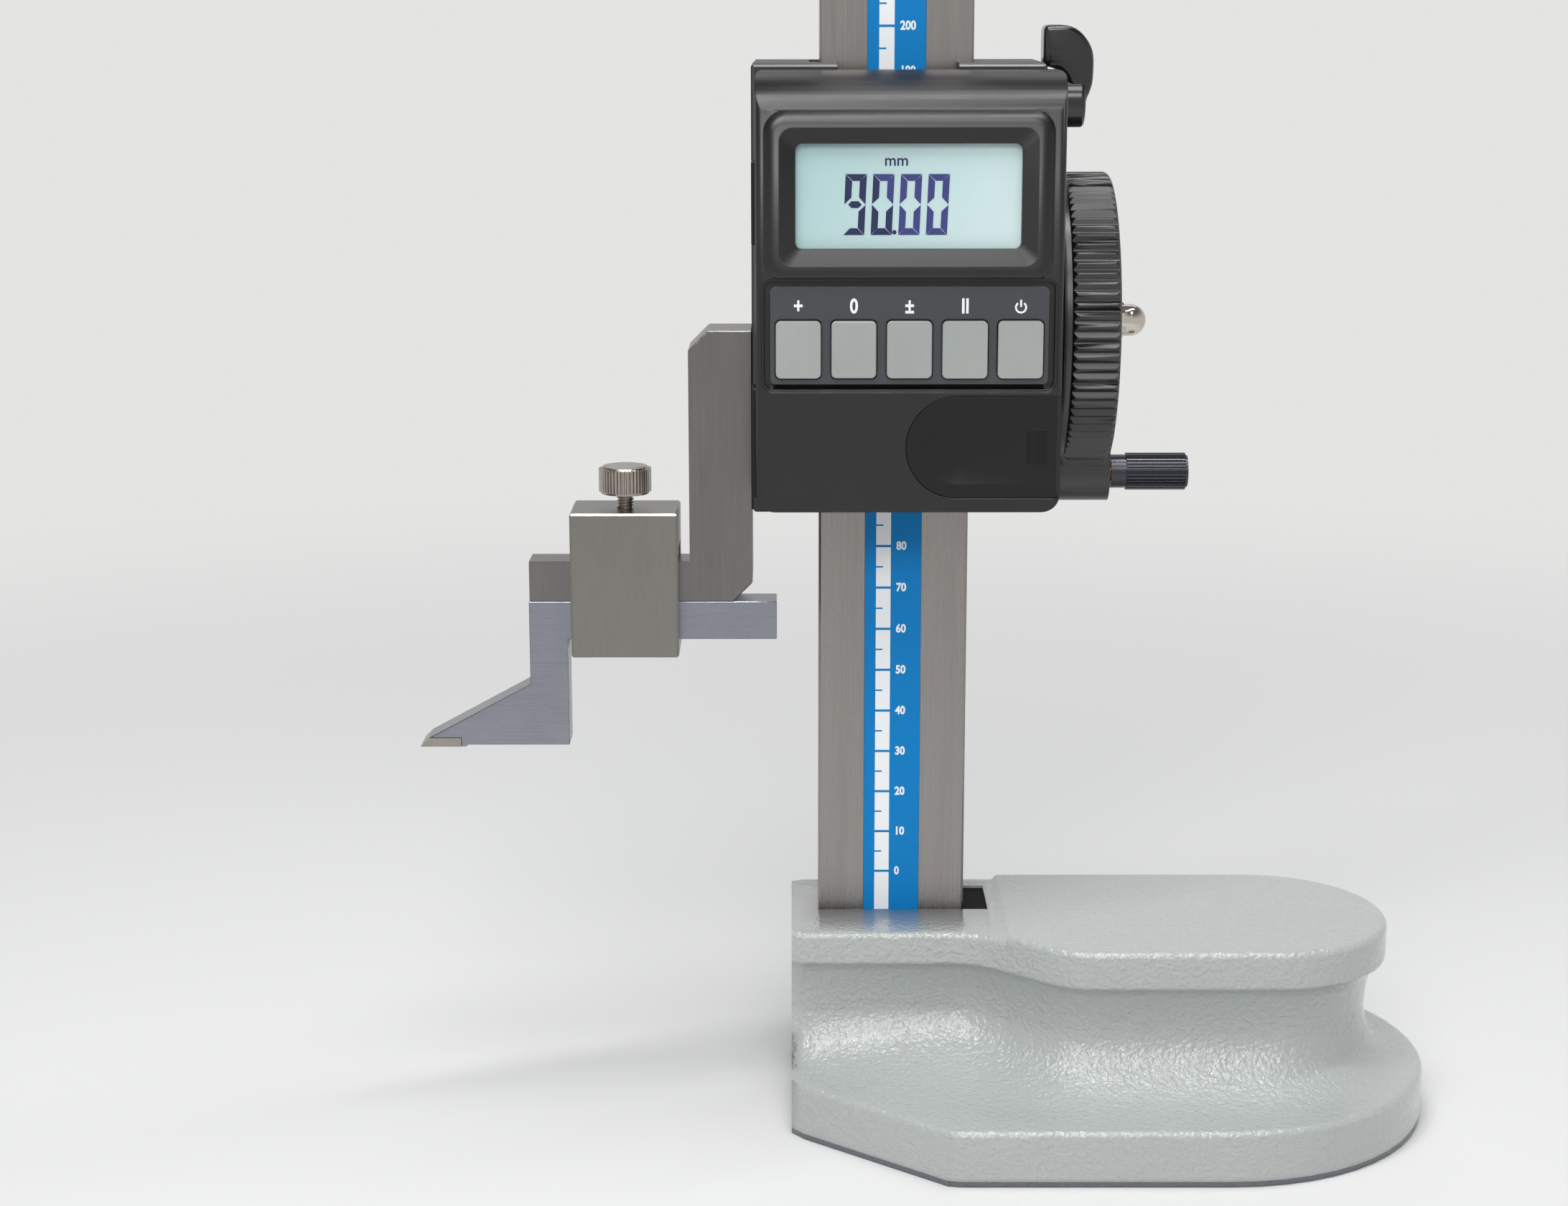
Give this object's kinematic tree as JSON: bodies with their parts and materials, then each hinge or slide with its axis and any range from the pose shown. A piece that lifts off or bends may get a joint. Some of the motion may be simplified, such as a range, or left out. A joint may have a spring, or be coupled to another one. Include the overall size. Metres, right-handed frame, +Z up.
{
  "type": "digital height gauge",
  "caption": "Digital height gauge: cast base, ground column with printed scale, and a slider with a display, keys, a rack handwheel, a lock lever and a clamped carbide scriber.",
  "frame": {"origin": "on the base's ground underside, below the column's centre line and in the scribing plane", "axes": "+X runs right along the base and away from the scriber, +Y runs back from the face with the display, +Z runs up the column"},
  "size_m": [0.2394, 0.1177, 0.4732],
  "materials": {
    "hammer_paint": "light grey hammer-tone enamel over cast iron",
    "ground_steel": "ground stainless steel, fine lengthwise grinding lines",
    "tool_steel": "hardened and ground tool steel",
    "scale_print": "blue and white printed scale strip, satin",
    "rack_steel": "machined steel, lightly oiled",
    "fastener_steel": "phosphated socket screws",
    "plug_rubber": "black moulded plug",
    "cap_paint": "black satin enamel",
    "carriage_iron": "blackened casting with bright machined edges",
    "bronze": "sintered bronze",
    "housing_plastic": "black moulded ABS, fine texture",
    "plate_steel": "black sheet steel",
    "panel_film": "dark grey key panel with white lettering",
    "window_clear": "clear acrylic window",
    "lcd_glass": "liquid crystal display, pale green",
    "board_green": "green circuit board",
    "dome_steel": "snap domes",
    "carrier_plastic": "black moulded carrier",
    "cell_steel": "nickel-plated coin cell",
    "contact_brass": "gilt spring contact",
    "key_plastic": "light grey moulded key",
    "cover_plastic": "black moulded ABS",
    "wheel_plastic": "black glass-filled nylon",
    "chrome_nut": "chrome-plated domed nut",
    "washer_steel": "zinc-plated washer",
    "spacer_brass": "turned brass",
    "grip_plastic": "black ribbed grip",
    "lever_plastic": "black moulded lever",
    "pad_brass": "turned brass",
    "clamp_steel": "ground steel block",
    "screw_steel": "knurled stainless steel",
    "carbide": "brazed and lapped tungsten carbide"
  },
  "bodies": {
    "base": {"base_casting": "hammer_paint", "column": "ground_steel", "scale_strip": "scale_print", "rack": "rack_steel", "column_bolts": "fastener_steel", "slot_plug": "plug_rubber", "top_cap": "cap_paint", "cap_screws": "fastener_steel"},
    "slider": {"carriage": "carriage_iron", "gib_strip": "bronze", "gib_screws": "fastener_steel", "housing": "housing_plastic", "rear_plate": "plate_steel", "housing_screws": "fastener_steel", "button_panel": "panel_film", "display_window": "window_clear", "lcd_panel": "lcd_glass", "circuit_board": "board_green", "board_screws": "dome_steel", "switch_domes": "dome_steel", "encoder_carrier": "carrier_plastic", "encoder_board": "board_green", "battery": "cell_steel", "battery_contacts": "contact_brass", "port_covers": "cover_plastic", "measuring_jaw": "tool_steel", "jaw_screws": "fastener_steel", "shaft_bushes": "bronze", "lock_bush": "fastener_steel"},
    "wheel": {"handwheel": "wheel_plastic", "pinion_shaft": "rack_steel", "retaining_ring": "fastener_steel", "wheel_washer": "washer_steel", "acorn_nut": "chrome_nut", "crank_pin": "rack_steel", "crank_spacer": "spacer_brass"},
    "crank_grip": {"crank_handle": "grip_plastic"},
    "lock": {"lock_lever": "lever_plastic", "lock_screw": "fastener_steel"},
    "pad": {"lock_pad": "pad_brass"},
    "clamp": {"clamp_box": "clamp_steel"},
    "clamp_shoe": {"clamp_pad": "rack_steel"},
    "thumb": {"thumbscrew": "screw_steel"},
    "scriber_arm": {"scriber": "tool_steel", "carbide_tip": "carbide"},
    "cell_cover": {"battery_cover": "cover_plastic"},
    "button_inc": {"key_inc": "key_plastic"},
    "button_zero": {"key_zero": "key_plastic"},
    "button_tol": {"key_tol": "key_plastic"},
    "button_hold": {"key_hold": "key_plastic"},
    "button_power": {"key_power": "key_plastic"}
  },
  "joints": [
    {"name": "height", "type": "slide", "parent": "base", "child": "slider", "axis": [0, 0, 1], "range_m": [-0.09, 0.21]},
    {"name": "wheel_turn", "type": "hinge", "parent": "slider", "child": "wheel", "pos_m": [0.0459, 0.03003, 0.1866], "axis": [1, 0, 0], "range_deg": [-718, 1673]},
    {"name": "crank_spin", "type": "hinge", "parent": "wheel", "child": "crank_grip", "pos_m": [0.06, 0.03003, 0.1498], "axis": [1, 0, 0], "continuous": true},
    {"name": "lock_turn", "type": "hinge", "parent": "slider", "child": "lock", "pos_m": [0.038, 0.0145, 0.239], "axis": [-1, 0, 0], "range_deg": [0, 75]},
    {"name": "lock_press", "type": "slide", "parent": "slider", "child": "pad", "axis": [-1, 0, 0], "range_m": [0, 0.00024871]},
    {"name": "clamp_slide", "type": "slide", "parent": "slider", "child": "clamp", "axis": [1, 0, 0], "range_m": [-0.01, 0.0024]},
    {"name": "shoe_lift", "type": "slide", "parent": "clamp", "child": "clamp_shoe", "axis": [0, 0, 1], "range_m": [0, 0.0005]},
    {"name": "thumb_turn", "type": "hinge", "parent": "clamp_shoe", "child": "thumb", "pos_m": [-0.0626, 0, 0.15], "axis": [0, 0, 1], "range_deg": [0, 257.2]},
    {"name": "scriber_slide", "type": "slide", "parent": "clamp", "child": "scriber_arm", "axis": [1, 0, 0], "range_m": [-0.02, 0.001]},
    {"name": "cover_slide", "type": "slide", "parent": "slider", "child": "cell_cover", "axis": [1, 0, 0], "range_m": [0, 0.015]},
    {"name": "inc_press", "type": "slide", "parent": "slider", "child": "button_inc", "axis": [0, 1, 0], "range_m": [0, 0.0008], "stiffness_N_per_m": 500, "springref_m": -0.0008},
    {"name": "zero_press", "type": "slide", "parent": "slider", "child": "button_zero", "axis": [0, 1, 0], "range_m": [0, 0.0008], "stiffness_N_per_m": 500, "springref_m": -0.0008},
    {"name": "tol_press", "type": "slide", "parent": "slider", "child": "button_tol", "axis": [0, 1, 0], "range_m": [0, 0.0008], "stiffness_N_per_m": 500, "springref_m": -0.0008},
    {"name": "hold_press", "type": "slide", "parent": "slider", "child": "button_hold", "axis": [0, 1, 0], "range_m": [0, 0.0008], "stiffness_N_per_m": 500, "springref_m": -0.0008},
    {"name": "power_press", "type": "slide", "parent": "slider", "child": "button_power", "axis": [0, 1, 0], "range_m": [0, 0.0008], "stiffness_N_per_m": 500, "springref_m": -0.0008}
  ],
  "couplings": [
    {"joint": "wheel_turn", "follows": "height", "rad_per_m": 138.89},
    {"joint": "lock_turn", "follows": "lock_press", "rad_per_m": 5263.2},
    {"joint": "thumb_turn", "follows": "shoe_lift", "rad_per_m": 8976}
  ]
}
